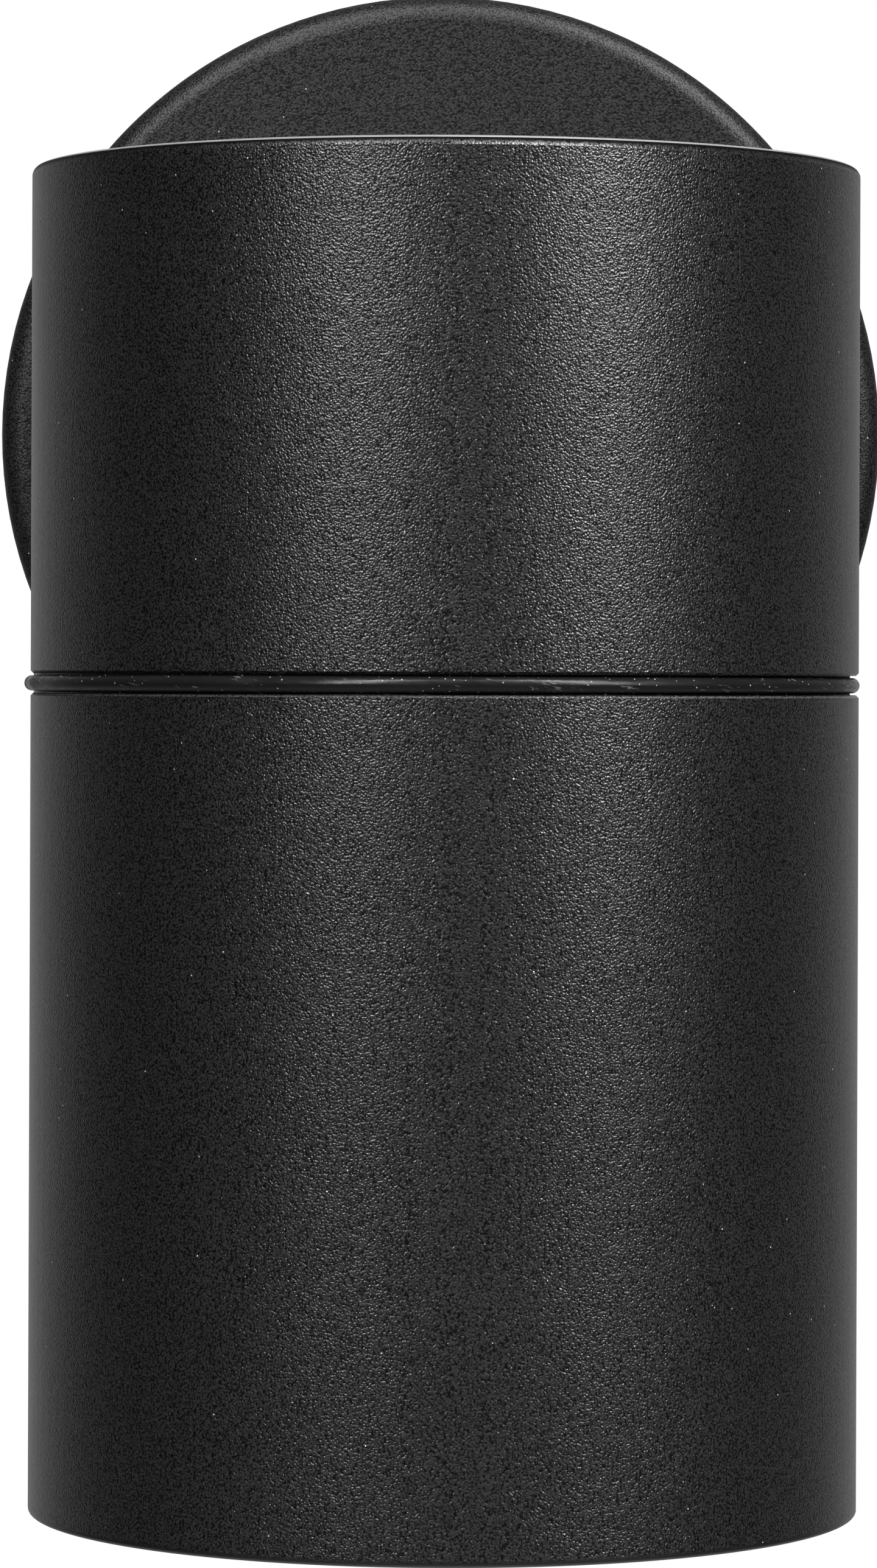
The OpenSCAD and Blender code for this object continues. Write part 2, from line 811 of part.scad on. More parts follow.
module lampholder_bridge() {
    color("#b8bcc0")
        on_axis()
            difference() {
                intersection() {
                    translate([-tube_r, -bridge_w / 2, bridge_z]) cube([tube_d, bridge_w, bridge_t]);
                    translate([0, 0, bridge_z - 1]) cylinder(r = collar_in_r - 0.3, h = bridge_t + 2);
                }
                for (side = [-1, 1]) {
                    translate([side * boss_x, 0, bridge_z - 1])
                        cylinder(r = m4[0] + clear_hole, h = bridge_t + 2);
                    translate([side * holder_screw_spacing / 2, 0, bridge_z - 1])
                        cylinder(r = m3[0] + clear_hole, h = bridge_t + 2);
                    translate([side * holder_lead_x, 0, bridge_z - 1])
                        cylinder(r = lead_d / 2 + 0.6, h = bridge_t + 2);
                }
            }
}

module bridge_screws() {
    color("#b9bdbf")
        on_axis()
            for (side = [-1, 1])
                translate([side * boss_x, 0, bridge_z])
                    mirror([0, 0, 1]) pan_screw([m4[0], boss_r - 0.9, m4[2]], bridge_screw_l);
}

// Curved slot round the holder's axis, square at its ends, with room for a pin of radius half all
// the way from the lamp's free place to its locked one.
module curved_slot(half, z0, z1) {
    past = asin(half / pin_r);
    rotate_extrude(angle = lamp_turn + 2 * past, start = -lamp_turn - past)
        translate([pin_r - half, z0]) square([2 * half, z1 - z0]);
}

// One of the two keyholes in the holder's face: a wide round entry, a narrow way to the locked
// place, and a chamber behind them for the pin's head.
module keyhole(start) {
    entry_r = pin_head_d / 2 + pin_play;
    rotate(start) {
        curved_slot(pin_shank_d / 2 + pin_play, -1, slot_floor + 0.5);
        curved_slot(entry_r + 0.3, slot_floor, slot_floor + chamber_h);
        rotate(-lamp_turn)
            translate([pin_r, 0, -1]) cylinder(r = entry_r, h = slot_floor + 2);
    }
}

module lampholder() {
    sink_h = m3[2] + 2.2;
    color("#ece8dc")
        translate([0, axis_y, holder_z])
            difference() {
                intersection() {
                    bar(holder_d / 2, 0, holder_h, 1, 0.6);
                    translate([-holder_d, -holder_w / 2, 0]) cube([2 * holder_d, holder_w, holder_h]);
                }
                for (start = [0, 180])
                    keyhole(start);
                for (side = [-1, 1]) {
                    translate([side * holder_screw_spacing / 2, 0, -1])
                        cylinder(r = m3[0] + clear_hole, h = holder_h + 2);
                    translate([side * holder_screw_spacing / 2, 0, -1])
                        cylinder(r = m3[1] + 0.3, h = sink_h + 1);
                    translate([side * holder_lead_x, 0, holder_h - 4])
                        cylinder(r = lead_d / 2 + 0.1, h = 5);
                }
            }
}

module holder_contacts() {
    roof = holder_z + slot_floor + chamber_h;
    tip_z = pin_head_z + pin_head_l + contact_touch;
    color("#c9c4b4")
        on_axis()
            for (start = [0, 180])
                rotate(start)
                    translate([pin_r, 0, 0]) {
                        translate([0, 0, roof - contact_t])
                            cylinder(r = pin_head_d / 2 - 0.2, h = contact_t);
                        translate([0, 0, tip_z]) cylinder(r = pin_head_d / 4, h = roof - tip_z);
                    }
}

module holder_screws() {
    sink_h = m3[2] + 2.2;
    color("#b9bdbf")
        on_axis()
            for (side = [-1, 1])
                translate([side * holder_screw_spacing / 2, 0, holder_z + sink_h])
                    mirror([0, 0, 1]) pan_screw(m3, holder_h - sink_h + bridge_t + nut_h + 0.5);
}

nut_h = 2.4;
nut_r = 3.1;
module holder_nuts() {
    color("#b9bdbf")
        on_axis()
            for (side = [-1, 1])
                translate([side * holder_screw_spacing / 2, 0, bridge_top_z])
                    difference() {
                        cylinder(r = nut_r, h = nut_h, $fn = 6);
                        translate([0, 0, -1]) cylinder(r = m3[0], h = nut_h + 2);
                    }
}

// ---------- wiring ----------

module lead_live() {
    color("#6a3d22") lead(concat(to_bundle(-1, 210), to_holder(-1, 210)), lead_d / 2);
}

module lead_neutral() {
    color("#2c55a0") lead(concat(to_bundle(1, 330), to_holder(1, 330)), lead_d / 2);
}

module lead_earth() {
    color("#4f9a3c") lead(concat(to_bundle(0, 90), to_earth(90)), lead_d / 2);
}

module earth_terminal() {
    tag_r = m4[1] + 0.2;
    color("#c9c4b4")
        difference() {
            union() {
                translate([earth_x, earth_y, earth_boss_z - earth_tag_t])
                    cylinder(r = tag_r, h = earth_tag_t);
                translate([earth_x - 1.6, earth_y, earth_boss_z - earth_tag_t])
                    cube([3.2, 6.5, earth_tag_t]);
                translate([earth_x, earth_barrel_y, earth_lead_z])
                    rotate([-90, 0, 0]) cylinder(r = lead_d / 2 + 0.7, h = earth_barrel_l);
            }
            translate([earth_x, earth_y, earth_boss_z - 5]) cylinder(r = m4[0] + 0.1, h = 10);
            translate([earth_x, earth_barrel_y - 1, earth_lead_z])
                rotate([-90, 0, 0]) cylinder(r = lead_d / 2 + seat, h = earth_barrel_l + 2);
        }
}

module earth_screw() {
    color("#c8a24a")
        translate([earth_x, earth_y, earth_boss_z - earth_tag_t])
            mirror([0, 0, 1]) pan_screw(m4, earth_boss_h - 1);
}

// ---------- lamp ----------

module lamp_base() {
    color("#efeee9")
        on_axis() bar(lamp_base_r, lamp_z - lamp_base_h, lamp_z, 0, 0.8);
}

module lamp_pins() {
    color("#c9ccce")
        on_axis()
            for (side = [-1, 1])
                translate([side * pin_r, 0, 0]) {
                    translate([0, 0, lamp_z]) cylinder(d = pin_shank_d, h = pin_head_z - lamp_z + 0.1);
                    bar(pin_head_d / 2, pin_head_z, pin_head_z + pin_head_l, 0, 0.5);
                }
}

module lamp_body() {
    foot_z = lamp_z - lamp_base_h;
    rim_z = lamp_front_z + lamp_rim_h;
    core_r = lamp_base_r + 0.8;
    color("#e9e9e6")
        on_axis()
            difference() {
                rotate_extrude()
                    polygon([
                        [0, foot_z], [lamp_base_r + 1, foot_z], [lamp_base_r + 2.5, foot_z - 3],
                        [lamp_r * 0.8, (foot_z + rim_z) / 2 - 2],
                        [lamp_r - 0.7, rim_z + 1.5], [lamp_r, rim_z],
                        [lamp_r, lamp_front_z + 0.6], [lamp_r - 0.6, lamp_front_z],
                        [0, lamp_front_z]
                    ]);
                // Slots between the cooling fins
                for (i = [0 : fin_count - 1])
                    rotate(i * 360 / fin_count)
                        translate([core_r, -slot_half(), rim_z + 2])
                            cube([lamp_r, 2 * slot_half(), foot_z - rim_z - 6]);
                // Seat of the lens
                translate([0, 0, lamp_front_z - 1]) cylinder(r = lamp_r - 2.5, h = lens_t + lens_sink + 1);
            }
}

// Half the width of a slot that leaves a fin between two slots at the core.
function slot_half() = (PI * (lamp_base_r + 0.8) / fin_count - fin_t / 2);

module lamp_lens() {
    facet_r = 3.2;
    lens_r = lamp_r - 2.5 - seat;
    low_z = lamp_front_z + lens_sink;
    color("#f4f4ee", 0.7)
        on_axis()
            difference() {
                translate([0, 0, low_z]) cylinder(r = lens_r, h = lens_t);
                // Shallow dimples over the light sources
                for (i = [0 : 6])
                    rotate(i * 60)
                        translate([i == 6 ? 0 : lens_r * 0.6, 0, low_z - facet_r * 0.75])
                            sphere(facet_r);
            }
}

wall_gasket();
mounting_bracket();
cable_grommet();
terminal_block();
terminal_clamps();
terminal_screws();
terminal_fixings();
wall_plate();
plate_grub_screws();
neck_gasket();
neck_screws();
neck_washers();
lead_bush();
upper_housing();
joint_ring();
lampholder_bridge();
bridge_screws();
lampholder();
holder_contacts();
holder_screws();
holder_nuts();
lead_live();
lead_neutral();
lead_earth();
earth_terminal();
earth_screw();
lower_tube();
tube_set_screws();
front_glass();
glass_gasket();
glass_retaining_ring();
lamp_body();
lamp_base();
lamp_pins();
lamp_lens();
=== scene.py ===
"""Looks of an outdoor wall downlight: a powder-coated tube on a neck and a round wall plate.

The castings keep their solids and get a fine-textured coat. The screws get threads and driven
heads, the leads get their smooth run, and the lamp gets its lenses and light sources. The stage
is a bright studio with two tall soft lights in front of the tube and a pale floor far below it.
"""

import math

import bmesh
import bpy
from mathutils import Matrix, Vector


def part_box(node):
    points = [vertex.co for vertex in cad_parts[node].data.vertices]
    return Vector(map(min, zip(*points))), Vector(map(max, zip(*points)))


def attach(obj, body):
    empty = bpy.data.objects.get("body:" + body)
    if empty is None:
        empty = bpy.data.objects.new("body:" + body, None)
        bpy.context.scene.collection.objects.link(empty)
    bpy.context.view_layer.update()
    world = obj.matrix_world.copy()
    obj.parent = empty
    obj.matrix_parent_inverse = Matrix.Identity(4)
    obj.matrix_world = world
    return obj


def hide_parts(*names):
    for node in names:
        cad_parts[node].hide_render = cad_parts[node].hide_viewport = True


bl_info = {
    "name": "Outdoor wall downlight",
    "version": (1, 0, 0),
    "blender": (4, 5, 0),
    "location": "View3D > Sidebar > Downlight",
    "description": "Finishes and small parts of a cylindrical wall downlight, with its studio",
    "category": "Object",
}

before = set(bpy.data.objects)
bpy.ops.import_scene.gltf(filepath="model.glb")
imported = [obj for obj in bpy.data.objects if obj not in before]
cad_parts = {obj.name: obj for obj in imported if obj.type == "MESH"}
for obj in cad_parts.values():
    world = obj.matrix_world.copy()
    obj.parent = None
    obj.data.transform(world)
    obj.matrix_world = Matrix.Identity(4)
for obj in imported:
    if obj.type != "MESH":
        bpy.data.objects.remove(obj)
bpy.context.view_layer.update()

MM = 0.001
X, Y, Z = Vector((1, 0, 0)), Vector((0, 1, 0)), Vector((0, 0, 1))
FIXTURE, LOWER, LAMP = "fixture", "lower_section", "lamp"

TUBE_LOW, TUBE_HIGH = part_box("lower_tube")
TUBE_R = (TUBE_HIGH.x - TUBE_LOW.x) / 2
AXIS_Y = TUBE_LOW.y + TUBE_R
TOP_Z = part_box("upper_housing")[1].z
SEAM_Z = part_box("joint_ring")[1].z

CREASE = math.radians(40)
SCREW_SEGMENTS, CUP_SEGMENTS, LENS_SEGMENTS = 36, 32, 96
BIG_SHANK_R, SMALL_SHANK_R = 1.95 * MM, 1.45 * MM
# A domed head from its rim to its middle: shares of its radius and of its height.
HEAD_PROFILE = ((1, -1), (1, -0.55), (0.96, -0.30), (0.84, -0.12), (0.60, -0.02), (0.20, 0))


# ---------- settings ----------


class CoatSettings(bpy.types.PropertyGroup):
    """Finish of the castings."""

    colour: bpy.props.FloatVectorProperty(
        name="Coat colour",
        description="Colour of the powder coat",
        default=(0.004, 0.004, 0.0041),
        subtype="COLOR",
        min=0,
        max=1,
    )
    grain: bpy.props.FloatProperty(
        name="Grain",
        description="Distance from one grain of the coat to the next",
        default=0.39 * MM,
        unit="LENGTH",
        precision=5,
    )
    relief: bpy.props.FloatProperty(
        name="Relief",
        description="Height of the grain",
        default=0.096 * MM,
        unit="LENGTH",
        precision=5,
    )
    roughness: bpy.props.FloatProperty(
        name="Coat roughness",
        description="Roughness of the coat between its grains",
        default=0.29,
        subtype="FACTOR",
        min=0,
        max=1,
    )


class SmallPartSettings(bpy.types.PropertyGroup):
    """Sizes and colours of screws, leads and rubber."""

    coarse_pitch: bpy.props.FloatProperty(
        name="Pitch of 4 mm screws",
        description="Rise of the thread in one turn",
        default=0.7 * MM,
        unit="LENGTH",
        precision=5,
    )
    fine_pitch: bpy.props.FloatProperty(
        name="Pitch of 3 mm screws",
        description="Rise of the thread in one turn",
        default=0.5 * MM,
        unit="LENGTH",
        precision=5,
    )
    lead_diameter: bpy.props.FloatProperty(
        name="Lead diameter",
        description="Outside diameter of an insulated lead",
        default=2.2 * MM,
        unit="LENGTH",
        precision=5,
    )
    rubber_colour: bpy.props.FloatVectorProperty(
        name="Rubber colour",
        description="Colour of the ring, gaskets and grommet",
        default=(0.009, 0.009, 0.0095),
        subtype="COLOR",
        min=0,
        max=1,
    )
    zinc_colour: bpy.props.FloatVectorProperty(
        name="Zinc colour",
        description="Colour of the plated steel",
        default=(0.60, 0.62, 0.65),
        subtype="COLOR",
        min=0,
        max=1,
    )


class LampSettings(bpy.types.PropertyGroup):
    """Colours and counts of the lamp."""

    shell_colour: bpy.props.FloatVectorProperty(
        name="Shell colour",
        description="Colour of the lamp's shell",
        default=(0.45, 0.45, 0.43),
        subtype="COLOR",
        min=0,
        max=1,
    )
    source_colour: bpy.props.FloatVectorProperty(
        name="Source colour",
        description="Colour of the unlit light sources",
        default=(0.85, 0.62, 0.10),
        subtype="COLOR",
        min=0,
        max=1,
    )
    sources: bpy.props.IntProperty(
        name="Sources",
        description="Light sources round the one in the middle",
        default=6,
        min=3,
        max=12,
    )


class StageSettings(bpy.types.PropertyGroup):
    """Camera, lights and floor."""

    camera_distance: bpy.props.FloatProperty(
        name="Camera distance",
        description="Distance from the camera to the tube's axis",
        default=0.66,
        unit="LENGTH",
    )
    lens: bpy.props.FloatProperty(
        name="Lens",
        description="Focal length of the camera",
        default=139.07,
        unit="CAMERA",
    )
    left_power: bpy.props.FloatProperty(
        name="Left light",
        description="Power of the soft light on the left",
        default=88,
        unit="POWER",
    )
    right_power: bpy.props.FloatProperty(
        name="Right light",
        description="Power of the soft light on the right",
        default=125,
        unit="POWER",
    )
    floor_drop: bpy.props.FloatProperty(
        name="Floor",
        description="Height of the light above the floor",
        default=2.0,
        unit="LENGTH",
    )
    floor_colour: bpy.props.FloatVectorProperty(
        name="Floor colour",
        description="Colour of the floor",
        default=(0.80, 0.80, 0.79),
        subtype="COLOR",
        min=0,
        max=1,
    )


# ---------- shader expressions ----------


class Tone:
    """A shader socket in a Python expression: arithmetic on it adds Math nodes."""

    def __init__(self, shading, socket):
        self.shading = shading
        self.socket = socket

    def math(self, operation, *terms):
        settings = {"operation": operation}
        return self.shading.node("ShaderNodeMath", settings, dict(enumerate(terms)))

    def __add__(self, other):
        return self.math("ADD", self, other)

    def __sub__(self, other):
        return self.math("SUBTRACT", self, other)

    def __mul__(self, other):
        return self.math("MULTIPLY", self, other)

    def __rsub__(self, other):
        return self.math("SUBTRACT", other, self)

    __radd__ = __add__
    __rmul__ = __mul__

    def ramp(self, low, high):
        """0 at low, 1 at high, straight between them and level outside."""
        settings = {"interpolation_type": "LINEAR", "clamp": True}
        inputs = {"Value": self, "From Min": low, "From Max": high}
        return self.shading.node("ShaderNodeMapRange", settings, inputs)


class Shading:
    """A node tree, of a material or of the world, that nodes are added to."""

    def __init__(self, tree):
        self.tree = tree

    def node(self, kind, settings=None, inputs=None, output=0):
        """Adds a node, sets it up, fills its sockets with values or links, and gives an output."""
        made = self.tree.nodes.new(kind)
        for name, value in (settings or {}).items():
            setattr(made, name, value)
        for name, value in (inputs or {}).items():
            self.fill(made.inputs[name], value)
        return Tone(self, made.outputs[output])

    def fill(self, socket, value):
        """Links a socket to a tone, or sets it to a value."""
        if isinstance(value, Tone):
            self.tree.links.new(value.socket, socket)
        elif socket.type == "RGBA" and len(value) == 3:
            socket.default_value = (*value, 1)
        else:
            socket.default_value = value


class Finish(Shading):
    """A material with one principled shader."""

    def __init__(self, name, colour, roughness, **uniform):
        self.material = bpy.data.materials.new(name)
        self.material.use_nodes = True
        super().__init__(self.material.node_tree)
        self.shader = self.tree.nodes["Principled BSDF"]
        self.shader.inputs["Base Color"].default_value = (*colour, 1)
        self.shader.inputs["Roughness"].default_value = roughness
        for socket, value in uniform.items():
            self.shader.inputs[socket.replace("_", " ")].default_value = value
        self.material.diffuse_color = (*colour, 1)
        self.place = self.node("ShaderNodeTexCoord", output="Object")

    def vary(self, socket, value):
        """Links one of the shader's sockets to something that changes over the surface."""
        self.fill(self.shader.inputs[socket], value)

    def noise(self, size, detail=2.0, roughness=0.5, place=None):
        """Soft noise from 0 to 1 whose patches are about size across, in metres."""
        inputs = {
            "Vector": place or self.place,
            "Scale": 1 / size,
            "Detail": detail,
            "Roughness": roughness,
        }
        return self.node("ShaderNodeTexNoise", None, inputs)

    def cells(self, size, feature="F1"):
        """Distance from the nearest of many points, which are about size apart, in metres."""
        inputs = {"Vector": self.place, "Scale": 1 / size}
        return self.node("ShaderNodeTexVoronoi", {"feature": feature}, inputs, "Distance")

    def along(self, axis):
        """Coordinate along one axis, in metres."""
        return self.node("ShaderNodeSeparateXYZ", None, {0: self.place}, axis)

    def from_tube_axis(self):
        """Distance from the tube's axis, in metres."""
        inputs = {0: self.place, 1: (1, 1, 0), 2: (0, -AXIS_Y, 0)}
        across = self.node("ShaderNodeVectorMath", {"operation": "MULTIPLY_ADD"}, inputs)
        return self.node("ShaderNodeVectorMath", {"operation": "LENGTH"}, {0: across}, "Value")

    def slanted(self, stretch, slope):
        """The place drawn out sideways and sheared, for marks that run across at a slant."""
        x, y, z = (self.along(axis) for axis in "XYZ")
        inputs = {"X": x * stretch, "Y": y * stretch, "Z": z + x * slope}
        return self.node("ShaderNodeCombineXYZ", None, inputs)

    def stretched(self, x, y, z):
        """The place with each axis multiplied, so that what reads it is drawn out."""
        inputs = {0: self.place, 1: (x, y, z)}
        return self.node("ShaderNodeVectorMath", {"operation": "MULTIPLY"}, inputs)

    def blend(self, share, first, second):
        """Colour between two colours."""
        settings = {"data_type": "RGBA", "clamp_factor": True}
        return self.node("ShaderNodeMix", settings, {0: share, 6: first, 7: second}, 2)

    def relief(self, height, depth):
        """Bumps the surface by a height from 0 to 1, times a depth in metres."""
        inputs = {"Height": height, "Distance": depth}
        self.vary("Normal", self.node("ShaderNodeBump", None, inputs))

    def colour(self, share, first, second):
        """Varies the base colour between two colours."""
        self.vary("Base Color", self.blend(share, first, second))


def shaded(colour, factor):
    """A colour made darker or lighter."""
    return tuple(min(1.0, channel * factor) for channel in colour)


# ---------- finishes ----------


def near_edge(finish, height, near, far):
    """1 within near of the tube's edge at a height, falling to 0 at far from it."""
    out, up = finish.from_tube_axis() - TUBE_R, finish.along("Z") - height
    return (out * out + up * up).ramp(far**2, near**2)


def crown(finish, depth, fade):
    """1 on the tube's rounded top edge down to a depth below its highest line, then fading."""
    high = (finish.along("Z") - TOP_Z).ramp(-depth - fade, -depth)
    flat, rounded = -0.95 * MM, -0.85 * MM
    return high * (finish.from_tube_axis() - TUBE_R).ramp(flat, rounded)


def powder_coat(name="black_powder_coat", depth=1.0, gloss=0.5, dulled=0.0, edges=1.0):
    """Fine-textured black powder coat: rounded grains with small glints on their crests.

    depth scales the grain and the painted shade in its pits, gloss is the shader's specular level,
    and dulled adds to the roughness.
    The crests are painted lighter as light, and the pits darker as shade.
    With edges at 1, the coat is smooth on the tube's edges, darkened as painted shade under its
    crown, and carries a pale line painted along the crown as a highlight.
    """
    coat = bpy.context.scene.downlight_coat
    finish = Finish(name, coat.colour, coat.roughness, Specular_IOR_Level=gloss)
    # The pits get a shaded copy of the coat colour and the crests a lit copy: painted shade in the
    # pits, painted light on the crests.
    painted_pit_shade, painted_crest_light = shaded(coat.colour, 0.5), shaded(coat.colour, 2.3)
    # The first two greys are painted highlights, on the lower tube's lip and on the crown; the
    # last is for pale flecks.
    lip_highlight_grey, crown_highlight_grey, pale_fleck = (0.5, 0.5, 0.49), (0.3, 0.3, 0.3), (0.32, 0.32, 0.31)
    grain = finish.noise(coat.grain * 0.55, detail=0.5, roughness=0.5)
    beads = finish.cells(coat.grain * 0.64, "SMOOTH_F1")
    crest = grain * 0.75 + (1 - beads) * 0.25
    # On the crown the coat is smoothed, and turned to dark metal under the edge line as painted
    # shade.
    crown_smooth_and_shade = crown(finish, depth=0.4 * MM, fade=0.5 * MM) * edges
    mouth = near_edge(finish, TUBE_LOW.z, near=0.4 * MM, far=0.8 * MM)
    crest = crest + (0.5 - crest) * (crown_smooth_and_shade + mouth)
    # A pale line painted along the crown's top edge as a highlight.
    painted_crown_highlight = crown(finish, depth=0.2 * MM, fade=0.06 * MM) * edges
    # A pale line painted on the lower tube's top lip as a highlight.
    painted_lip_highlight = near_edge(finish, TUBE_HIGH.z, near=0.2 * MM, far=0.3 * MM) * 0.08
    drift = finish.noise(9 * MM, detail=3)
    fleck = finish.cells(2.6 * MM).ramp(0.036, 0.022)
    rise = crest.ramp(0.36, 0.54)
    # Ground colour runs from the painted shade in the pits to the painted light on the crests.
    ground = finish.blend(crest.ramp(0.42, 0.66), painted_pit_shade, painted_crest_light)
    ground = finish.blend(painted_lip_highlight, ground, lip_highlight_grey)
    ground = finish.blend(painted_crown_highlight, ground, crown_highlight_grey)
    finish.colour(fleck, ground, pale_fleck)
    # The pits and the crown turn to dark metal, which dims their reflection: painted shade.
    finish.vary("Metallic", (1 - rise) * 0.7 * depth + crown_smooth_and_shade)
    rough = coat.roughness - 0.02 + dulled + drift * 0.04 + crown_smooth_and_shade * 0.3
    finish.vary("Roughness", rough - fleck * 0.08)
    finish.relief(crest, coat.relief * depth)
    return finish.material


def ring_rubber():
    """Moulded rubber, glossy where it is clean, with wiped streaks, nicks and dust."""
    colour = shaded(bpy.context.scene.downlight_parts.rubber_colour, 0.45)
    finish = Finish("ring_rubber", colour, 0.2, Specular_IOR_Level=0.1)
    film = finish.noise(6 * MM, detail=2).ramp(0.42, 0.62)
    wipes = finish.noise(0.4 * MM, detail=3, roughness=0.65, place=finish.slanted(0.12, 0.22))
    skin = finish.noise(0.12 * MM, detail=2)
    nicks = wipes.ramp(0.64, 0.70)
    dust = finish.cells(0.8 * MM).ramp(0.12, 0.07) + finish.cells(2.4 * MM).ramp(0.07, 0.05)
    finish.colour(dust * 0.6 + nicks * 0.15, colour, (0.30, 0.30, 0.29))
    finish.vary("Roughness", 0.17 + film * 0.16 + wipes.ramp(0.35, 0.75) * 0.16 + dust * 0.3)
    finish.relief(wipes * 0.7 + skin * 0.3, 0.03 * MM)
    return finish.material


def soft_rubber():
    """Matt moulded rubber of the gasket at the neck, the bush and the grommet."""
    colour = bpy.context.scene.downlight_parts.rubber_colour
    finish = Finish("soft_rubber", colour, 0.62)
    bloom = finish.noise(3 * MM, detail=4, roughness=0.6)
    skin = finish.noise(0.25 * MM, detail=3)
    finish.colour(bloom.ramp(0.4, 0.8) * 0.5, colour, (0.035, 0.035, 0.034))
    finish.vary("Roughness", 0.50 + bloom * 0.25)
    finish.relief(skin, 0.03 * MM)
    return finish.material


def closed_foam():
    """Closed-cell foam of the gasket on the wall, with cut pores."""
    finish = Finish("closed_foam", (0.02, 0.02, 0.021), 0.9)
    pores = finish.cells(0.55 * MM, "SMOOTH_F1")
    fine = finish.noise(0.2 * MM, detail=3)
    # The pore hollows are painted darker as shade.
    finish.colour(pores.ramp(0.1, 0.6), (0.010, 0.010, 0.011), (0.035, 0.035, 0.036))
    finish.vary("Roughness", 0.85 + fine * 0.1)
    finish.relief(pores * 0.8 + fine * 0.2, 0.18 * MM)
    return finish.material


def zinc_plate(name="zinc_plate", brushed=1.0):
    """Zinc-plated steel: fine drawn lines, a faint blue and straw tint and dull patches."""
    colour = bpy.context.scene.downlight_parts.zinc_colour
    finish = Finish(name, colour, 0.32, Metallic=1.0)
    lines = finish.noise(0.18 * MM, detail=2, place=finish.stretched(0.04, 1.0, 1.0))
    patches = finish.noise(6 * MM, detail=4, roughness=0.6)
    tint = finish.noise(11 * MM, detail=1)
    toned = finish.blend(tint.ramp(0.35, 0.65), shaded(colour, 0.96), (0.62, 0.60, 0.54))
    finish.colour(patches.ramp(0.45, 0.75) * 0.5, toned, shaded(colour, 0.72))
    finish.vary("Roughness", 0.24 + patches * 0.16 + lines * 0.08)
    finish.relief(lines, 0.006 * MM * brushed)
    return finish.material


def black_oxide():
    """Blackened steel of the hex-socket screws."""
    finish = Finish("black_oxide", (0.035, 0.035, 0.037), 0.4, Metallic=0.9)
    wear = finish.noise(0.8 * MM, detail=4, roughness=0.6)
    finish.colour(wear.ramp(0.55, 0.8), (0.030, 0.030, 0.033), (0.11, 0.105, 0.10))
    finish.vary("Roughness", 0.32 + wear * 0.2)
    finish.relief(wear, 0.01 * MM)
    return finish.material


def spring_steel():
    """Phosphated spring steel of the retaining ring."""
    finish = Finish("spring_steel", (0.12, 0.12, 0.125), 0.45, Metallic=1.0)
    grain = finish.noise(0.35 * MM, detail=3, roughness=0.6)
    patches = finish.noise(5 * MM, detail=3)
    finish.colour(patches.ramp(0.4, 0.7), (0.10, 0.10, 0.105), (0.17, 0.165, 0.16))
    finish.vary("Roughness", 0.36 + grain * 0.2)
    finish.relief(grain, 0.012 * MM)
    return finish.material


def brass(name, colour, roughness):
    """Turned brass or tinned brass, with fine tool marks."""
    finish = Finish(name, colour, roughness, Metallic=1.0)
    marks = finish.noise(0.12 * MM, detail=2, place=finish.stretched(1.0, 1.0, 0.1))
    tarnish = finish.noise(2.2 * MM, detail=4, roughness=0.6)
    finish.colour(tarnish.ramp(0.5, 0.8) * 0.6, colour, shaded(colour, 0.6))
    finish.vary("Roughness", roughness - 0.06 + marks * 0.12)
    finish.relief(marks, 0.008 * MM)
    return finish.material


def steatite():
    """Unglazed ivory ceramic of the lampholder, faintly grained."""
    finish = Finish("steatite", (0.80, 0.76, 0.67), 0.55)
    grain = finish.noise(0.3 * MM, detail=4, roughness=0.6)
    spots = finish.cells(1.4 * MM).ramp(0.10, 0.05)
    ground = finish.blend(grain.ramp(0.3, 0.7), (0.78, 0.73, 0.64), (0.84, 0.81, 0.73))
    finish.colour(spots * 0.4, ground, (0.45, 0.38, 0.28))
    finish.vary("Roughness", 0.48 + grain * 0.18)
    finish.relief(grain, 0.02 * MM)
    return finish.material


def moulded_plastic(name, colour, roughness, texture=0.01 * MM):
    """Injection-moulded plastic with a slight skin and uneven gloss."""
    finish = Finish(name, colour, roughness)
    skin = finish.noise(0.28 * MM, detail=3, roughness=0.55)
    flow = finish.noise(7 * MM, detail=2)
    finish.colour(flow.ramp(0.3, 0.7), shaded(colour, 0.95), shaded(colour, 1.03))
    finish.vary("Roughness", roughness - 0.05 + skin * 0.10)
    finish.relief(skin, texture)
    return finish.material


def silicone():
    """Milky silicone of the glass gasket."""
    finish = Finish("silicone", (0.62, 0.62, 0.60), 0.45, Subsurface_Weight=0.15)
    cloud = finish.noise(2.5 * MM, detail=3)
    finish.colour(cloud.ramp(0.35, 0.7), (0.58, 0.58, 0.56), (0.68, 0.68, 0.66))
    finish.vary("Roughness", 0.36 + cloud * 0.2)
    finish.relief(cloud, 0.02 * MM)
    return finish.material


def toughened_glass():
    """Clear glass with a cool tint and the faintest waviness."""
    tint = (0.93, 0.98, 0.96)
    finish = Finish("toughened_glass", tint, 0.0, Transmission_Weight=1.0, IOR=1.5)
    wave = finish.noise(22 * MM, detail=1)
    smear = finish.noise(6 * MM, detail=4, roughness=0.65)
    finish.vary("Roughness", smear.ramp(0.55, 0.85) * 0.05)
    finish.relief(wave, 0.01 * MM)
    return finish.material


def lens_plastic():
    """Clear moulded lens with a light frost."""
    tint = (0.97, 0.97, 0.96)
    finish = Finish("lens_plastic", tint, 0.08, Transmission_Weight=1.0, IOR=1.49)
    frost = finish.noise(0.4 * MM, detail=3)
    finish.vary("Roughness", 0.05 + frost * 0.10)
    finish.relief(frost, 0.01 * MM)
    return finish.material


